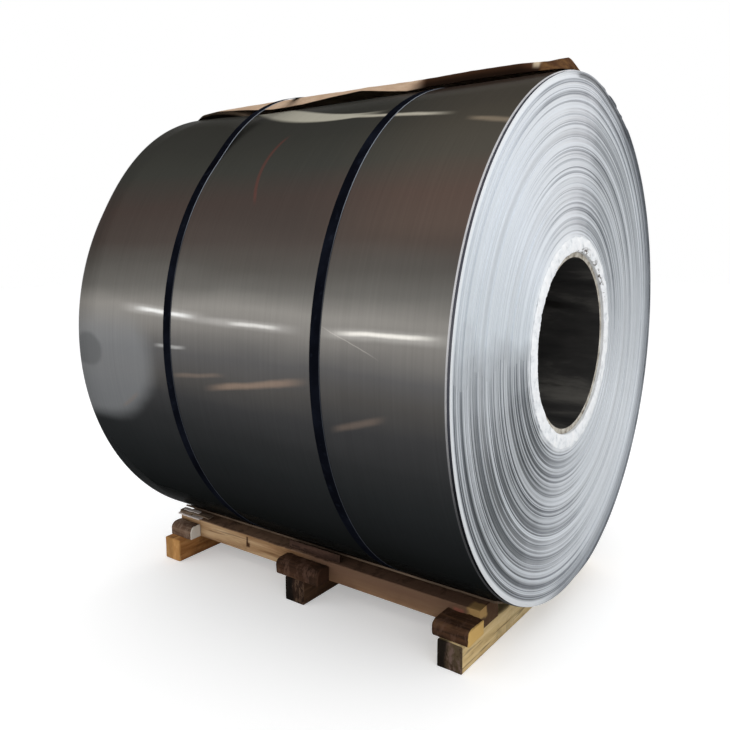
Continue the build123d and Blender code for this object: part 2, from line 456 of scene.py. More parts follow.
def grainyMaterial(name, look):
    look = {**plainLook, **look}
    material, shader = newMaterial(name, Metallic=look["metallic"], IOR=look["ior"])
    spread = grain(objectPoint(look["stretch"]), look["scale"], 6.0, 0.6)
    specks = grain(objectPoint(look["speckStretch"]), look["speckScale"], 4.0)
    specks = fade(specks, *look["speckRange"])
    colour = paint(ramp(spread, look["colours"]), look["speckColour"], specks, look["speck"])
    rough = scaled(spread, 0.2, look["roughness"] - 0.1)
    raised = bump(spread, look["bump"], look["depth"])
    feed(shader, Base_Color=colour, Roughness=rough, Normal=raised)
    return material, shader


wrapLook = {
    "colours": [(0.3, (206, 211, 215)), (0.45, (240, 243, 246)), (0.7, (253, 254, 255))],
    "scale": 34.0, "roughness": 0.75, "bump": 0.8, "depth": 0.004,
    "speck": 0.15, "speckColour": rgb(150, 145, 138),
    "scraps": rgb(66, 54, 44), "scrapNoise": (34.0, 5.0, 0.7), "scrapRange": (0.5, 0.62),
    "scrapRadius": (0.296, 0.278), "scrapY": (-0.03, 0.04), "scrapZ": (0.08, 0.16),
}
sleeveLook = {
    "colours": [(0.3, (120, 112, 100)), (0.5, (182, 176, 164)), (0.7, (214, 211, 203))],
    "scale": 20.0, "stretch": (1, 2, 2), "roughness": 0.8,
    "speck": 0.7, "speckColour": rgb(74, 54, 38), "speckScale": 34.0,
}
# the sleeve's board inside the bore, painted dark grey as painted shade, with dark smudges drawn out along
# the axis
shadedBoreLook = {
    "colours": [(0.3, (34, 34, 34)), (0.5, (52, 51, 50)), (0.68, (88, 86, 82))],
    "scale": 5.0, "stretch": (0.5, 2, 2), "roughness": 0.6, "ior": 1.1,
    "speck": 0.7, "speckColour": rgb(20, 18, 17), "speckScale": 12.0, "speckStretch": (0.35, 1.6, 1.6),
}
lapInnerLook = {
    "colours": [(0.3, (118, 122, 126)), (0.5, (142, 146, 150)), (0.7, (170, 174, 178))],
    "scale": 9.0, "roughness": 0.4, "metallic": 0.6, "speck": 0.2, "speckColour": rgb(80, 84, 88),
}
lapEdgeLook = {
    "colours": [(0.3, (205, 206, 208)), (0.5, (234, 234, 236)), (0.7, (250, 250, 250))],
    "scale": 20.0, "roughness": 0.45, "speck": 0.35, "speckColour": rgb(110, 112, 116), "speckScale": 40.0,
    "darkBelow": (0.12, -0.42), "darkFront": (0.1, -0.1), "darkShare": 0.93,
}


def lapEdgeMaterial():
    # the laps' cut edges lie in the dark low in front
    look = lapEdgeLook
    material, shader = grainyMaterial("lapEdge", look)
    y, z = axisPoint()[1:]
    low, front = fade(z, *look["darkBelow"]), fade(y, *look["darkFront"])
    overpaint(shader, shellLook["gapShade"], low, front, look["darkShare"])
    return material


def wrapMaterial():
    # crumpled white wrap, with brown scraps caught at its upper inner edge
    look = wrapLook
    material, shader = grainyMaterial("whiteWrap", look)
    y, z = axisPoint()[1:]
    inner = fade(reach(y, z), *look["scrapRadius"])
    upper = times(fade(y, *look["scrapY"]), fade(z, *look["scrapZ"]))
    scraps = grain(objectPoint((1, 1, 1.6)), *look["scrapNoise"])
    overpaint(shader, look["scraps"], fade(scraps, *look["scrapRange"]), upper, inner)
    return material


# The timber: grain drawn out along one axis, with darker or paler faces by place

woodGrain = {
    # stretch along and across the fibres, and the noise's scale, detail and roughness
    "fibreStretch": (0.35, 5.0), "fibres": (9.0, 8.0, 0.65),
    "crackStretch": (0.5, 12.0), "cracks": (7.0, 3.0), "crackRange": (0.6, 0.66), "crackShare": 0.55,
    "blotches": (7.0, 4.0, 0.6), "blotchRange": (0.5, 0.68), "blotchHeight": 0.6,
    "roughness": 0.8, "ior": 1.15, "depth": 0.004,
}
plainWood = {"along": 0, "stainShare": 0.5, "bump": 0.6, "shift": (0, 0, 0), "places": []}


def woodMaterial(name, look):
    wood, look = woodGrain, {**plainWood, **look}
    material, shader = newMaterial(name, IOR=wood["ior"], Roughness=wood["roughness"])
    stretches = [
        [along if axis == look["along"] else across for axis in range(3)]
        for along, across in (wood["fibreStretch"], wood["crackStretch"])
    ]
    fibrePoint = objectPoint(stretches[0], look["shift"])
    fibres = grain(fibrePoint, *wood["fibres"])
    blotch = grain(objectPoint(), *wood["blotches"])
    stained = fade(blotch, *wood["blotchRange"])
    cracks = grain(objectPoint(stretches[1], (0.3, 0, 0)), *wood["cracks"])
    cracks = fade(cracks, *wood["crackRange"])
    colour = ramp(fibres, look["colours"])
    colour = paint(colour, look["stain"], stained, look["stainShare"])
    colour = paint(colour, look["stain"], cracks, wood["crackShare"])
    for place in look["places"]:
        colour = paintPlace(colour, blotch, *place)
    height = scaled(blotch, wood["blotchHeight"], fibres)
    raised = bump(height, look["bump"], wood["depth"])
    feed(shader, Base_Color=colour, Normal=raised)
    return material


def paintPlace(colour, blotch, box, tint, share, soft=0.002, ragged=0.01, speckle=0):
    # one box of the object's space in another colour, with a ragged edge
    axes = addNode("SeparateXYZ", {0: objectPoint()}).outputs
    uneven = scaled(blotch, ragged, -ragged / 2)
    shares = [share]
    if speckle:
        flecks = grain(objectPoint((2, 1, 0.7)), speckle, 4.0, 0.7)
        shares.append(fade(flecks, 0.48, 0.62))
    for axis, (low, high) in box.items():
        shares.append(between(calc("ADD", axes[axis], uneven), low, high, soft))
    return paint(colour, rgb(*tint), *shares)


railLook = {
    "colours": [
        (0.3, (120, 88, 60)), (0.46, (168, 132, 96)), (0.6, (196, 164, 126)), (0.75, (212, 186, 150)),
    ],
    "stain": rgb(104, 72, 50), "stainShare": 0.55,
    "places": [
        # box by axis, colour, share, and where needed softness, raggedness and the flecks' scale:
        # shaded near half, the top's browns and flecks, the near end, a yellow patch,
        # a knot with its crack and a reddish mark
        ({0: (0.1, 0.7), 1: (-0.5, -0.37), 2: (0.105, 0.2)}, (108, 80, 60), 0.62, 0.06, 0.06),
        ({2: (0.1415, 0.2)}, (142, 114, 94), 0.9),
        ({0: (0.0, 0.7), 2: (0.1415, 0.2)}, (112, 86, 70), 0.9, 0.1),
        ({2: (0.1415, 0.2)}, (72, 54, 44), 0.6, 0.002, 0.01, 9.0),
        ({0: (0.571, 0.6)}, (76, 54, 38), 0.9),
        ({0: (0.545, 0.6), 1: (-0.5, -0.345), 2: (0.115, 0.2)}, (188, 152, 98), 0.85, 0.014, 0.07),
        ({0: (-0.310, -0.300), 1: (-0.5, -0.38), 2: (0.103, 0.112)}, (58, 32, 18), 0.95, 0.007, 0.012),
        ({0: (-0.311, -0.307), 1: (-0.5, -0.38), 2: (0.112, 0.134)}, (62, 34, 20), 0.9, 0.004, 0.004),
        ({0: (0.50, 0.52), 1: (-0.5, -0.37), 2: (0.11, 0.125)}, (158, 96, 80), 0.8, 0.012, 0.01),
    ],
}
bearerLook = {
    # the wood's colours, its front end's colour and flecks, and the shade on that end
    "bearer_far": (
        [(0.3, (120, 78, 42)), (0.5, (176, 122, 72)), (0.7, (204, 156, 100))],
        (190, 140, 84), (206, 160, 104), 0.25,
    ),
    "bearer_middle": (
        [(0.3, (52, 38, 28)), (0.5, (84, 62, 46)), (0.7, (122, 94, 72))],
        (40, 28, 22), (104, 82, 66), 0.9,
    ),
    "bearer_near": (
        [(0.3, (150, 122, 82)), (0.45, (208, 182, 132)), (0.7, (232, 212, 168))],
        (42, 30, 25), (112, 92, 84), 0.9,
    ),
}
chockLook = {
    # the wood's colours, the near end's colour and the flecks
    "far": (
        [(0.3, (66, 48, 38)), (0.5, (98, 76, 62)), (0.7, (134, 110, 92))],
        (236, 230, 220), (150, 130, 114),
    ),
    "middle": (
        [(0.3, (40, 27, 20)), (0.5, (66, 45, 33)), (0.7, (94, 68, 50))],
        (62, 42, 31), (104, 78, 66),
    ),
    "near": (
        [(0.3, (50, 34, 24)), (0.5, (78, 54, 38)), (0.7, (110, 82, 58))],
        (214, 176, 108), (96, 72, 60),
    ),
}


def bearerMaterial(name):
    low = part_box(name)[0]
    colours, endColour, flecks, shade = bearerLook[name]
    return woodMaterial(name + "Wood", {
        "along": 1, "colours": colours, "stain": rgb(70, 48, 34), "shift": (low.x * 3, 0, 0),
        "places": [
            ({1: (-1, low.y + 0.004)}, endColour, 0.9),
            ({1: (-1, low.y + 0.006)}, flecks, 0.75, 0.002, 0.01, 30.0),
            ({0: (-1, low.x + 0.028), 1: (-1, low.y + 0.012)}, (16, 13, 11), shade, 0.014, 0.05),
        ],
    })


def chockMaterial(name, place):
    low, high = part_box(name)
    colours, endColour, flecks = chockLook[place]
    return woodMaterial(name + "Wood", {
        "colours": colours, "stain": rgb(34, 24, 18), "stainShare": 0.6, "bump": 0.9,
        "places": [
            ({0: (high.x - 0.0045, 1)}, endColour, 0.92, 0.001),
            ({0: (low.x + 0.01, high.x - 0.008)}, flecks, 0.5, 0.002, 0.01, 26.0),
        ],
    })


padLook = {
    "bump": 0.3, "stain": rgb(52, 40, 32),
    "colours": [(0.3, (74, 60, 50)), (0.5, (116, 98, 82)), (0.7, (160, 142, 122))],
}
tornLook = {
    "bump": 0.3, "stain": rgb(96, 76, 66),
    "colours": [(0.3, (176, 158, 150)), (0.5, (214, 202, 196)), (0.7, (240, 234, 230))],
}
darkBoardLook = {
    "bump": 0.3, "stain": rgb(30, 22, 18),
    "colours": [(0.3, (44, 30, 24)), (0.5, (66, 48, 40)), (0.7, (92, 70, 60))],
}
strapLook = {
    "colours": [(0.3, (8, 9, 14)), (0.5, (13, 15, 22)), (0.7, (21, 24, 33))],
    "scale": 8.0, "roughness": 0.42, "ior": 1.0, "bump": 0.05,
    "speck": 0.3, "speckColour": rgb(34, 39, 50), "speckScale": 45.0,
    # x at the axis, and how the strap leans with y and with height
    "strap_far": (-0.266, 16 / 770, -16 / 770), "strap_near": (0.287, 15 / 770, 0.0),
    # a painted highlight along one edge: its colour, its place across the strap, and its strength by height
    "edgeHighlight": rgb(142, 148, 158), "highlightEdge": (0.0145, 0.0158), "highlightHeight": (0.25, 0.55),
    "highlightShare": (0.75, 0.15),
}


def strapMaterial(name):
    # dark blued steel with a painted highlight along one edge, brighter high up
    look = strapLook
    material, shader = grainyMaterial(name + "Steel", look)
    x, y, z = axisPoint()
    place, lean, twist = look[name]
    across = scaled(y, lean, calc("SUBTRACT", x, place))
    across = scaled(z, -twist, across)
    across = scaled(grain(objectPoint(), 30.0), 0.002, across)
    # painted highlight along the edge, stronger high up
    high = scaled(fade(z, *look["highlightHeight"]), *look["highlightShare"])
    overpaint(shader, look["edgeHighlight"], fade(across, *look["highlightEdge"]), high)
    return material


# Mesh helpers

def finishMesh(mesh, name, materials, replaced, sharp=35):
    data = bpy.data.meshes.new(name)
    mesh.to_mesh(data)
    mesh.free()
    made = bpy.data.objects.new(name, data)
    bpy.context.scene.collection.objects.link(made)
    for material in materials:
        data.materials.append(material)
    data.polygons.foreach_set("use_smooth", [True] * len(data.polygons))
    data.set_sharp_from_angle(angle=math.radians(sharp))
    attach(made, "root")
    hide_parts(*replaced)
    return made


def spunMesh(outline, segments):
    # a closed (x, radius) outline turned once round the coil's axis
    mesh = bmesh.new()
    corners = [mesh.verts.new((x, 0, coil["axisZ"] + radius)) for x, radius in outline]
    edges = [mesh.edges.new((corners[i - 1], corners[i])) for i in range(len(corners))]
    bmesh.ops.spin(
        mesh, geom=corners + edges, cent=(0, 0, coil["axisZ"]), axis=(1, 0, 0),
        angle=2 * math.pi, steps=segments, use_merge=True,
    )
    bmesh.ops.remove_doubles(mesh, verts=mesh.verts, dist=1e-6)
    bmesh.ops.recalc_face_normals(mesh, faces=mesh.faces)
    return mesh


def axisPolar(point):
    # radius and angle of a point about the axis: 0 at the top, growing to the front
    height = point.z - coil["axisZ"]
    return math.hypot(point.y, height), math.atan2(-point.y, height)


def spreadOut(vertex, factor):
    # farther from the axis by a factor
    vertex.co.y *= factor
    vertex.co.z = coil["axisZ"] + (vertex.co.z - coil["axisZ"]) * factor


def softStep(value, low, high):
    # 0 at low to 1 at high, with soft ends
    share = min(1.0, max(0.0, (value - low) / (high - low)))
    return share * share * (3 - 2 * share)


# The wound coil: each turn stands a little in or out of its neighbours

turnLook = {
    "count": 66, "clear": 0.0003, "lip": 0.02, "sink": 0.0021, "level": 5,
    # wider steps, and the deepest that a turn may lie
    "stepStart": 0.3446, "steps": 6, "stepSink": 0.0012, "deepest": 0.003,
    # the near end's outer turns come forward, most high in front
    "slopeStart": 0.7, "pushStart": 0.38, "push": (0.0104, 0.0055), "pushBlend": (0.3, -0.05),
}


def endProfile(face, outward):
    look = turnLook
    inner, outer = coil["sleeveRadius"] + look["clear"], coil["shellRadius"]
    pitch = (outer - inner) / look["count"]
    band = (outer - look["stepStart"]) / look["steps"]
    points = []
    for index in range(look["count"]):
        low = inner + index * pitch
        sink = random.uniform(0, look["sink"]) if look["level"] < index < look["count"] - 1 else 0
        inBand = (low + pitch / 2 - look["stepStart"]) / band
        if inBand > 0 and int(inBand) % 2 == 0:
            sink = min(sink + look["stepSink"], look["deepest"])
        x = face - outward * sink
        points += [(x, low + pitch * look["lip"]), (x, low + pitch * (1 - look["lip"]))]
    return points


def outerShare(radius, start):
    # 0 up to a radius, growing to 1 at the shell
    return max(0.0, (radius - start) / (coil["shellRadius"] - start))


def windCoil():
    random.seed(11)
    near = endProfile(coil["nearFace"], 1)
    far = endProfile(coil["farFace"], -1)
    mesh = spunMesh(near + far[::-1], coil["segments"])
    rise, level = turnLook["push"]
    for vertex in mesh.verts:
        radius = axisPolar(vertex.co)[0]
        if vertex.co.x > 0:
            lean = max(0.0, vertex.co.y) * coil["backLean"]
            push = max(0.0, rise * (vertex.co.z - coil["axisZ"]) + level)
            push *= softStep(vertex.co.y, *turnLook["pushBlend"])
            vertex.co.x += lean * outerShare(radius, turnLook["slopeStart"])
            vertex.co.x += push * outerShare(radius, turnLook["pushStart"])
    for face in mesh.faces:
        radius = axisPolar(face.calc_center_median())[0]
        isShell = radius > coil["shellRadius"] - 0.0015 and abs(face.normal.x) < 0.5
        face.material_index = 0 if isShell else 1
    finishMesh(mesh, "woundCoil", [steel, turnEdges], ["coil"], 50)


# The outermost laps, skewed against the coil

lapShape = {
    "clear": 0.00005, "edgeStep": 0.0016, "edgeSink": (0.0014, 0.0012),
    "rings": (-0.36, -0.40, -0.45, -0.51, -0.58),  # cuts where the far end stands off
    "lift": 0.021, "liftAngles": (-4, 58), "liftAlong": (-0.34, -0.675),
    "nick": 0.009, "nickAngles": (-40, -10), "nickFade": 6,
}


def windOuterLaps():
    half, outer, inner = coil["lapHalf"], coil["lapRadius"], coil["shellRadius"] + lapShape["clear"]
    step, (sink, stepSink) = lapShape["edgeStep"], lapShape["edgeSink"]
    outline = [(half, inner), (half, outer - sink), (half - step, outer - stepSink), (half - step, outer)]
    outline += [(x, outer) for x in lapShape["rings"]]
    outline += [(step - half, outer), (-half, outer - sink), (-half, inner)]
    outline += [(x, inner) for x in reversed(lapShape["rings"])]
    mesh = spunMesh(outline, coil["segments"] * 2)
    for vertex in mesh.verts:
        x, y, z = vertex.co
        radius, angle = axisPolar(vertex.co)
        if x > 0:
            inFront = softStep(y, *coil["frontBlend"])
            frontShift = (z - coil["axisZ"]) * coil["frontTilt"] - coil["frontInset"]
            shift = inFront * frontShift + (1 - inFront) * y * coil["backLean"]
            vertex.co.x += shift - edgeNick(angle)
        else:
            vertex.co.x += y * coil["lapLean"]
        spreadOut(vertex, 1 + looseLift(x, angle) / radius)
    for face in mesh.faces:
        middle = face.calc_center_median()
        outwards = Vector((0, middle.y, middle.z - coil["axisZ"]))
        if abs(face.normal.x) > 0.5:
            face.material_index = 1
        elif face.normal.dot(outwards) < 0:
            face.material_index = 2
    finishMesh(mesh, "outerLaps", [steel, lapEdge, lapInner], ["outer_laps"], 50)


def looseLift(x, angle):
    # the lap stands off a little at the far end, in front of the paper's edge
    low, high = lapShape["liftAngles"]
    around = (math.degrees(angle) - low) / (high - low)
    if not 0 < around < 1:
        return 0.0
    return lapShape["lift"] * math.sin(math.pi * around) ** 1.5 * softStep(x, *lapShape["liftAlong"])


def edgeNick(angle):
    # bent and nicked stretch at the top of the near edge's back half
    place, (low, high) = math.degrees(angle), lapShape["nickAngles"]
    share = min(1.0, (place - low) / lapShape["nickFade"], (high - place) / lapShape["nickFade"])
    if share <= 0:
        return 0.0
    bent = noise.noise(Vector((place * 0.22, 3.1, 0.0)))
    nicked = noise.noise(Vector((place * 0.9, 7.7, 0.0))) * 0.6
    return max(0.0, bent + nicked) * lapShape["nick"] * share


def rollSleeve():
    near, far = coil["nearFace"] - 0.006, coil["farFace"] + 0.006
    inner, outer = coil["boreRadius"], coil["sleeveRadius"]
    mesh = spunMesh([(near, inner), (near, outer), (far, outer), (far, inner)], coil["segments"])
    for face in mesh.faces:
        radius = axisPolar(face.calc_center_median())[0]
        # the faces inside the bore get the board in painted shade
        face.material_index = 1 if radius < inner + 0.002 else 0
    finishMesh(mesh, "coreSleeve", [sleeveBoard, shadedBoreInside], ["core_sleeve"])


wrapShape = {
    "inner": 0.2698, "outer": 0.3112, "near": 0.6763, "base": 0.6704, "rows": 12, "segments": 360,
    "fullness": 0.82, "thinnest": 0.0004, "crumple": 0.003, "frayWidth": 0.008, "fray": 0.018,
}


def crumpleWrap():
    shape = wrapShape
    inner, outer, base, near = (shape[key] for key in ("inner", "outer", "base", "near"))
    outline = [(base, inner)]
    for row in range(shape["rows"] + 1):
        share = row / shape["rows"]
        crown = math.sin(math.pi * min(1, 0.12 + share * 0.8)) ** 0.5
        outline.append((base + (near - base) * shape["fullness"] * crown, inner + (outer - inner) * share))
    outline.append((base, outer))
    mesh = spunMesh(outline, shape["segments"])
    for vertex in mesh.verts:
        radius, angle = axisPolar(vertex.co)
        if vertex.co.x < base + 0.0005:
            continue
        ring = Vector((math.cos(angle) * 7, math.sin(angle) * 7, radius * 30))
        fine = Vector((math.cos(angle) * 26, math.sin(angle) * 26, radius * 110))
        lift = (noise.noise(ring) - abs(noise.noise(fine))) * shape["crumple"]
        vertex.co.x = min(near, max(base + shape["thinnest"], vertex.co.x + lift))
        if radius > outer - shape["frayWidth"]:
            spreadOut(vertex, 1 + noise.noise(fine * 0.5) * shape["fray"])
    finishMesh(mesh, "boreWrapEdge", [whiteWrap], ["bore_wrap_edge"], 80)


# Sawn timber: the CAD's block with worn edges and rough faces

timberShape = {
    "scale": 24.0, "roughLevel": 0.5, "roughness": [(1.0, 0.6), (2.9, 0.45), (6.3, 0.3)],
    "endShare": 0.25,  # of the roughness, on faces across x
}
bearerShape = {"edge": 0.003, "step": 0.011, "rough": 0.0022}
chockShape = {
    "foot": 0.08, "round": 0.52, "roundSegments": 7, "sharp": 0.6,
    "edge": 0.0024, "step": 0.0077, "rough": 0.00484,
}


def sliceMesh(mesh, axis, step):
    # cut across every step, so that the faces can be roughened
    places = [vertex.co[axis] for vertex in mesh.verts]
    low, high = min(places), max(places)
    count = max(1, round((high - low) / step))
    normal = Vector([1.0 if index == axis else 0.0 for index in range(3)])
    for index in range(1, count):
        place = normal * (low + (high - low) * index / count)
        geometry = mesh.verts[:] + mesh.edges[:] + mesh.faces[:]
        bmesh.ops.bisect_plane(mesh, geom=geometry, dist=1e-5, plane_co=place, plane_no=normal)


def roughen(mesh, seed, amount, seats):
    # press the skin in unevenly, and leave the seats at these heights flat
    mesh.normal_update()
    moves = []
    for vertex in mesh.verts:
        point = vertex.co * timberShape["scale"] + Vector((seed, seed * 2, 0))
        rough = timberShape["roughLevel"]
        for finer, share in timberShape["roughness"]:
            rough += share * noise.noise(point * finer)
        push = Vector(vertex.normal) * -amount * max(0.0, rough)
        push.x *= timberShape["endShare"]
        if any(abs(vertex.co.z - seat) < 0.001 for seat in seats):
            push.z = 0
        moves.append((vertex, push))
    for vertex, push in moves:
        vertex.co += push


def timberBlock(low, high):
    mesh = bmesh.new()
    bmesh.ops.create_cube(mesh, size=1)
    bmesh.ops.scale(mesh, vec=high - low, verts=mesh.verts)
    bmesh.ops.translate(mesh, vec=(low + high) / 2, verts=mesh.verts)
    return mesh


def roundEdges(mesh, edges, offset, segments):
    bmesh.ops.bevel(
        mesh, geom=edges, offset=offset, segments=segments, affect="EDGES",
        profile=0.5, material=-1, clamp_overlap=True,
    )


def hewBearer(name, seed):
    low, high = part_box(name)
    mesh = timberBlock(low, high)
    roundEdges(mesh, mesh.edges[:], bearerShape["edge"], 2)
    for axis in range(3):
        sliceMesh(mesh, axis, bearerShape["step"])
    roughen(mesh, seed, bearerShape["rough"], (low.z, high.z))
    finishMesh(mesh, name + "Timber", [bearerMaterial(name)], [name], 55)


tornLayers = [
    # low corner, high corner, tilt about x, material
    ((-0.661, -0.394, 0.1434), (-0.545, -0.356, 0.1478), 0.0, 1),
    ((-0.657, -0.389, 0.1482), (-0.590, -0.353, 0.1540), 0.0, 0),
    ((-0.652, -0.386, 0.1544), (-0.500, -0.358, 0.1590), 0.06, 0),
    ((-0.640, -0.380, 0.1594), (-0.560, -0.362, 0.1625), 0.10, 1),
    ((-0.130, -0.374, 0.1436), (0.085, -0.369, 0.1700), 0.0, 2),
]
tornShape = {"step": 0.007, "edgeWear": 0.009, "endWear": 0.03, "wave": 0.0006}


def tearPad():
    # the board strip under the coil, with the torn scraps that lie along it
    mesh = bmesh.new()
    mesh.from_mesh(nodes["pad_strip_front"].data)
    bmesh.ops.remove_doubles(mesh, verts=mesh.verts, dist=1e-6)
    for index, (low, high, tilt, kind) in enumerate(tornLayers):
        low, high = Vector(low), Vector(high)
        scrap = timberBlock(low, high)
        for axis in range(3):
            sliceMesh(scrap, axis, tornShape["step"])
        for vertex in scrap.verts:
            wear = abs(noise.noise(Vector((vertex.co.x * 60, index * 3.3, 0.5))))
            inner = (vertex.co.y - low.y) / (high.y - low.y)
            vertex.co.y += (1 - inner) * wear * tornShape["edgeWear"]
            vertex.co.z += noise.noise(vertex.co * 30) * tornShape["wave"]
            along = (vertex.co.x - low.x) / (high.x - low.x)
            if along in (0.0, 1.0):
                vertex.co.x += (0.5 - along) * abs(noise.noise(vertex.co * 90)) * tornShape["endWear"]
        turned = Matrix.Rotation(tilt, 3, "X")
        bmesh.ops.rotate(scrap, verts=scrap.verts, cent=Vector((0, low.y, low.z)), matrix=turned)
        for face in scrap.faces:
            face.material_index = kind
        layer = bpy.data.meshes.new("tornLayer")
        scrap.to_mesh(layer)
        scrap.free()
        mesh.from_mesh(layer)
        bpy.data.meshes.remove(layer)
    boards = [padBoard, tornBoard, darkBoard]
    finishMesh(mesh, "tornPadStrip", boards, ["pad_strip_front"], 40)


def hewChock(name, place, seed):
    low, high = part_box(name)
    low.z = chockShape["foot"]
    mesh = timberBlock(low, high)
    outer = -1 if low.y < 0 else 1
    middle = (abs(low.y) + abs(high.y)) / 2
    rounded = [
        edge for edge in mesh.edges
        if all(v.co.z > high.z - 1e-4 and v.co.y * outer > middle for v in edge.verts)
    ]
    roundEdges(mesh, rounded, (high.z - low.z) * chockShape["round"], chockShape["roundSegments"])
    sharp = [edge for edge in mesh.edges if edge.calc_face_angle(0) > chockShape["sharp"]]
    roundEdges(mesh, sharp, chockShape["edge"], 1)
    for axis in range(3):
        sliceMesh(mesh, axis, chockShape["step"])
    roughen(mesh, seed, chockShape["rough"], (low.z,))
    finishMesh(mesh, name + "Block", [chockMaterial(name, place)], [name], 55)


# The kraft paper, laid over the top and creased across

paper = {
    "creases": [
        # distance from the far face, front edge's angle and lift, crest's angle and sink, as
        # the CAD has them, with the far end turned down over the edge of the coil
        (-0.034, 15, -0.030, 9, 0.066), (-0.012, 14, 0.012, 9, 0.022), (0.012, 13, 0.030, 9, 0.006),
        (0.070, 11.5, 0.035, 7, 0.001), (0.180, 10.7, 0.027, 7, 0.0), (0.325, 10.7, 0.013, 7, 0.0),
        (0.460, 10.7, 0.015, 7, 0.0), (0.590, 10.7, 0.024, 7, 0.001), (0.705, 10.7, 0.029, 7, 0.001),
        (0.800, 10.7, 0.016, 7, 0.003), (0.870, 10.7, 0.007, 8, 0.005), (0.940, 10.7, 0.010, 10, 0.004),
        (1.080, 10.7, 0.012, 10, 0.002), (1.230, 10.7, 0.010, 10, 0.003), (1.300, 10.5, 0.008, 9, 0.008),
        (1.335, 9, 0.006, 4, 0.001), (1.347, 8, 0.003, 4, 0.037),
    ],
    "backFolds": (14, 27), "backEdge": (38, 0.0021),
    "across": 40, "along": 190, "thickness": 0.0004,
    "crumple": 0.0016, "fullCrumple": 0.012, "edgeCrumple": 0.4,
    "slackCentre": 0.142, "slackRadius": 0.6703, "seat": 0.0014,
    "backCut": (0.95, 1.347, 0.43), "cutEase": 0.25, "cutLift": 0.002,
    "flat": (1.4, 0.70),
}
paperLook = {
    "top": [(0.25, (170, 142, 118)), (0.5, (188, 161, 136)), (0.75, (204, 180, 156))],
    "creased": (9.0, 8.0, 0.72), "roughness": 0.78,
    # places are x along the axis and degrees in front of the top
    # painted shade on the panel that hangs down in front, with darker painted shade at its foot
    "panelShade": rgb(74, 50, 36), "panelFootShade": rgb(30, 20, 14),
    "panelPlace": (0.17, 0.26), "panelAngles": (8.6, 9.9), "footAngles": (9.7, 10.6),
    "light": rgb(232, 214, 184), "lightPlace": (0.588, 0.597, 0.009),
    "lightAngles": (8.0, 9.6, 0.8), "lightShare": 0.6,
    "nearBrown": rgb(112, 82, 52), "nearPlace": (0.598, 0.612), "nearRange": (0.35, 0.65),
    "endShade": rgb(24, 17, 12), "endPlace": (-0.664, -0.682),
}


def slackLift(angle):
    across = paper["slackCentre"] * math.sin(math.radians(angle))
    along = paper["slackCentre"] * math.cos(math.radians(angle))
    return along + math.sqrt(paper["slackRadius"] ** 2 - across ** 2) - coil["lapRadius"]


def paperLine(crease):
    distance, frontAngle, frontLift, crestAngle, sink = crease
    backAngle, backLift = paper["backEdge"]
    folds = [(crestAngle, sink), (0, sink)] + [(angle, sink * 0.5) for angle in paper["backFolds"]]
    lifts = [slackLift(angle) - paper["seat"] - sunk for angle, sunk in folds]
    angles = [-frontAngle, -crestAngle, 0, *paper["backFolds"], backAngle]
    return list(zip(angles, [frontLift, *lifts, backLift - max(0, -distance)]))


def alongLine(line, share):
    # angle and lift at a share of the line's folds
    place = share * (len(line) - 1)
    index = min(int(place), len(line) - 2)
    part = place - index
    (angleA, liftA), (angleB, liftB) = line[index], line[index + 1]
    return angleA + (angleB - angleA) * part, liftA + (liftB - liftA) * part


def cutShare(distance):
    # the back edge runs in to the top at the near end, so less of the sheet is left there
    start, end, left = paper["backCut"]
    return 1 - (1 - left) * min(1, max(0, (distance - start) / (end - start)))


def paperPoint(u, v):
    creases = paper["creases"]
    distance = creases[0][0] + (creases[-1][0] - creases[0][0]) * u
    index = max(i for i in range(len(creases) - 1) if creases[i][0] <= distance + 1e-9)
    part = (distance - creases[index][0]) / (creases[index + 1][0] - creases[index][0])
    whole, v = v, v * cutShare(distance)
    first = alongLine(paperLine(creases[index]), v)
    second = alongLine(paperLine(creases[index + 1]), v)
    angle = math.radians(first[0] + (second[0] - first[0]) * part)
    lift = first[1] + (second[1] - first[1]) * part
    cut = min(1, max(0, (distance - paper["backCut"][0]) / paper["cutEase"]))
    lift = lift + (paper["cutLift"] - lift) * cut * whole ** 4
    wave = noise.noise(Vector((distance * 9, v * 7, 1.5)))
    wave += 0.5 * noise.noise(Vector((distance * 31, v * 20, 4.0)))
    room = min(1.0, lift / paper["fullCrumple"]) * (1.0 if v > 0.02 else paper["edgeCrumple"])
    radius = coil["lapRadius"] + lift - abs(wave) * paper["crumple"] * room
    across, up = radius * math.sin(angle), radius * math.cos(angle)
    return Vector((coil["farFace"] + distance, across, coil["axisZ"] + up))


def paperMaterial():
    look = paperLook
    material, shader = newMaterial("kraftPaper", IOR=1.05, Roughness=look["roughness"])
    creased = grain(objectPoint((2, 4, 4)), *look["creased"])
    colour = ramp(creased, look["top"])
    x, y, z = axisPoint()
    # painted shade on the hanging panel, darker at its foot
    turn = times(calc("ARCTAN2", times(y, -1.0), z), 180 / math.pi)
    panelShade = mixColour(fade(turn, *look["footAngles"]), look["panelShade"], look["panelFootShade"])
    inPanel = times(fade(x, *look["panelPlace"]), fade(turn, *look["panelAngles"]))
    colour = paint(colour, panelShade, inPanel)
    sliver = times(between(x, *look["lightPlace"]), between(turn, *look["lightAngles"]))
    colour = paint(colour, look["light"], sliver, look["lightShare"])
    # the near end's fold: brown mixed with the panel's painted shade
    fold = mixColour(fade(creased, *look["nearRange"]), look["panelShade"], look["nearBrown"])
    colour = paint(colour, fold, fade(x, *look["nearPlace"]))
    colour = paint(colour, look["endShade"], fade(x, *look["endPlace"]))
    feed(shader, Base_Color=colour, Normal=bump(creased, 0.3, 0.003))
    return material


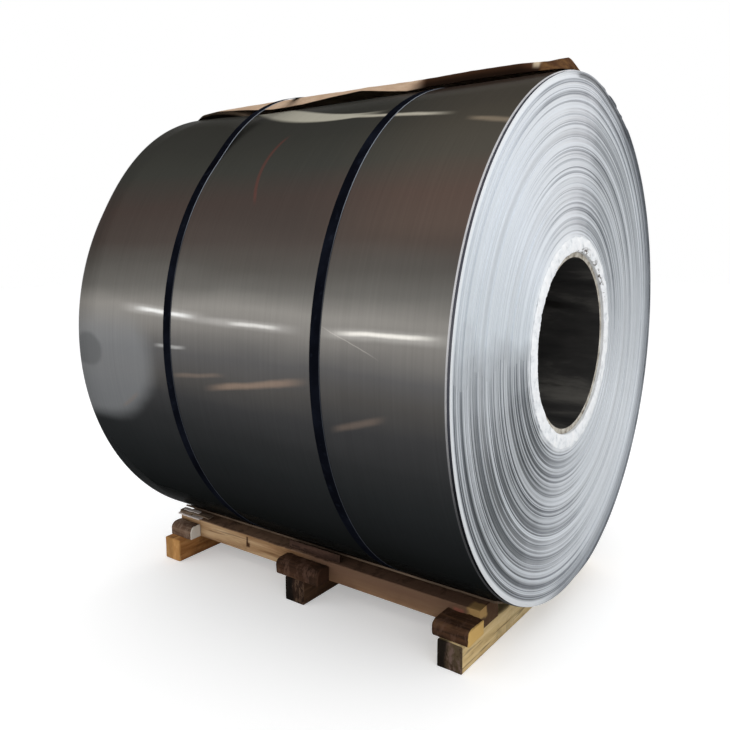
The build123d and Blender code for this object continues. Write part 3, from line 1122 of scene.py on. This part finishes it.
def layPaper():
    mesh = bmesh.new()
    bmesh.ops.create_grid(mesh, x_segments=paper["along"], y_segments=paper["across"], size=0.5)
    for vertex in mesh.verts:
        vertex.co = paperPoint(vertex.co.x + 0.5, vertex.co.y + 0.5)
    bmesh.ops.recalc_face_normals(mesh, faces=mesh.faces)
    if sum(face.normal.z for face in mesh.faces) < 0:
        bmesh.ops.reverse_faces(mesh, faces=mesh.faces)
    made = finishMesh(mesh, "paperSheet", [paperMaterial()], ["paper_sheet"], 30)
    wall = made.modifiers.new("thickness", "SOLIDIFY")
    wall.thickness = paper["thickness"]
    wall.offset = 1.0


# Camera, lights and floor

camera = {
    # a 36 mm sensor, and the photo's 730 pixels
    "place": (1.47136, -2.27563, 1.21344), "yaw": 0.71139, "pitch": 0.14337, "roll": -0.02079,
    "lens": 36 * 770.589 / 730, "shiftX": 90 / 730, "shiftY": -25.629 / 730,
}
lights = [
    {"name": "keyLamp", "place": (2.6, -1.6, 3.0), "size": 2.6, "power": 34},
    {"name": "fillLamp", "place": (-2.2, -3.0, 2.2), "size": 2.6, "power": 16},
    {"name": "backLamp", "place": (-0.6, 3.2, 3.0), "size": 2.6, "power": 22},
]
studio = {
    "target": (0, 0, 0.8), "worldLight": 0.75, "floorSize": 14, "floorLift": 0.35,
    "floorTones": [(0.0, (238, 238, 238)), (1.0, (244, 244, 244))],
}


def setCamera():
    yaw, pitch, roll = camera["yaw"], camera["pitch"], camera["roll"]
    forward = Vector((-math.sin(yaw) * math.cos(pitch), math.cos(yaw) * math.cos(pitch), -math.sin(pitch)))
    level = Vector((math.cos(yaw), math.sin(yaw), 0))
    upright = level.cross(forward)
    right = level * math.cos(roll) + upright * math.sin(roll)
    up = upright * math.cos(roll) - level * math.sin(roll)
    data = bpy.data.cameras.new("photoCamera")
    data.lens, data.shift_x, data.shift_y = camera["lens"], camera["shiftX"], camera["shiftY"]
    made = bpy.data.objects.new("photoCamera", data)
    turned = Matrix((right, up, -forward)).transposed().to_4x4()
    made.matrix_world = Matrix.Translation(camera["place"]) @ turned
    bpy.context.scene.collection.objects.link(made)
    bpy.context.scene.camera = made


def setLights():
    target = Vector(studio["target"])
    for lamp in lights:
        data = bpy.data.lights.new(lamp["name"], "AREA")
        data.shape, data.size, data.energy = "SQUARE", lamp["size"], lamp["power"]
        made = bpy.data.objects.new(lamp["name"], data)
        made.location = lamp["place"]
        made.rotation_euler = (target - made.location).to_track_quat("-Z", "Y").to_euler()
        bpy.context.scene.collection.objects.link(made)


def setWorld():
    world = bpy.data.worlds.new("studioWorld")
    bpy.context.scene.world = world
    world.use_nodes = True
    world.node_tree.nodes.clear()
    work["tree"] = world.node_tree
    path = addNode("LightPath").outputs
    seen = calc("MAXIMUM", path["Is Camera Ray"], path["Is Glossy Ray"])
    light = addNode("Background", {0: (1, 1, 1, 1), 1: studio["worldLight"]})
    white = addNode("Background", {0: (1, 1, 1, 1), 1: 1.0})
    both = addNode("MixShader", {0: seen, 1: light.outputs[0], 2: white.outputs[0]})
    addNode("OutputWorld", {0: both.outputs[0]})


def layFloor():
    mesh = bmesh.new()
    bmesh.ops.create_grid(mesh, x_segments=8, y_segments=8, size=studio["floorSize"])
    data = bpy.data.meshes.new("studioFloor")
    mesh.to_mesh(data)
    mesh.free()
    floor = bpy.data.objects.new("studioFloor", data)
    bpy.context.scene.collection.objects.link(floor)
    material, shader = newMaterial("studioFloor", Roughness=0.9, Emission_Color=(1, 1, 1, 1))
    tone = ramp(grain(objectPoint(), 0.7), studio["floorTones"])
    seen = addNode("LightPath").outputs["Is Camera Ray"]
    feed(shader, Base_Color=tone, Emission_Strength=times(seen, studio["floorLift"]))
    data.materials.append(material)


def dress(name, material):
    # a better material on a CAD node
    slots = nodes[name].data.materials
    slots.clear()
    slots.append(material)


print("stage: materials")
steel = shellSteel()
turnEdges = faceSteel()
sleeveBoard = grainyMaterial("sleeveBoard", sleeveLook)[0]
shadedBoreInside = grainyMaterial("shadedBoreInside", shadedBoreLook)[0]
whiteWrap = wrapMaterial()
lapInner = grainyMaterial("lapInner", lapInnerLook)[0]
lapEdge = lapEdgeMaterial()

print("stage: coil")
windCoil()
windOuterLaps()
rollSleeve()
crumpleWrap()

print("stage: paper and straps")
layPaper()
for name in ("strap_far", "strap_near"):
    dress(name, strapMaterial(name))

print("stage: skid")
railWood = woodMaterial("railWood", railLook)
padBoard = woodMaterial("padBoard", padLook)
tornBoard = woodMaterial("tornBoard", tornLook)
darkBoard = woodMaterial("darkBoard", darkBoardLook)
for side in ("front", "back"):
    dress("rail_" + side, railWood)
dress("pad_strip_back", padBoard)
tearPad()
for place in ("far", "middle", "near"):
    hewBearer("bearer_" + place, len(place) * 3.7)
    for side in ("front", "back"):
        hewChock(f"chock_{side}_{place}", place, len(place) * 1.3 + len(side))

print("stage: studio")
setWorld()
setLights()
layFloor()
setCamera()
bpy.context.scene.view_settings.view_transform = "Standard"
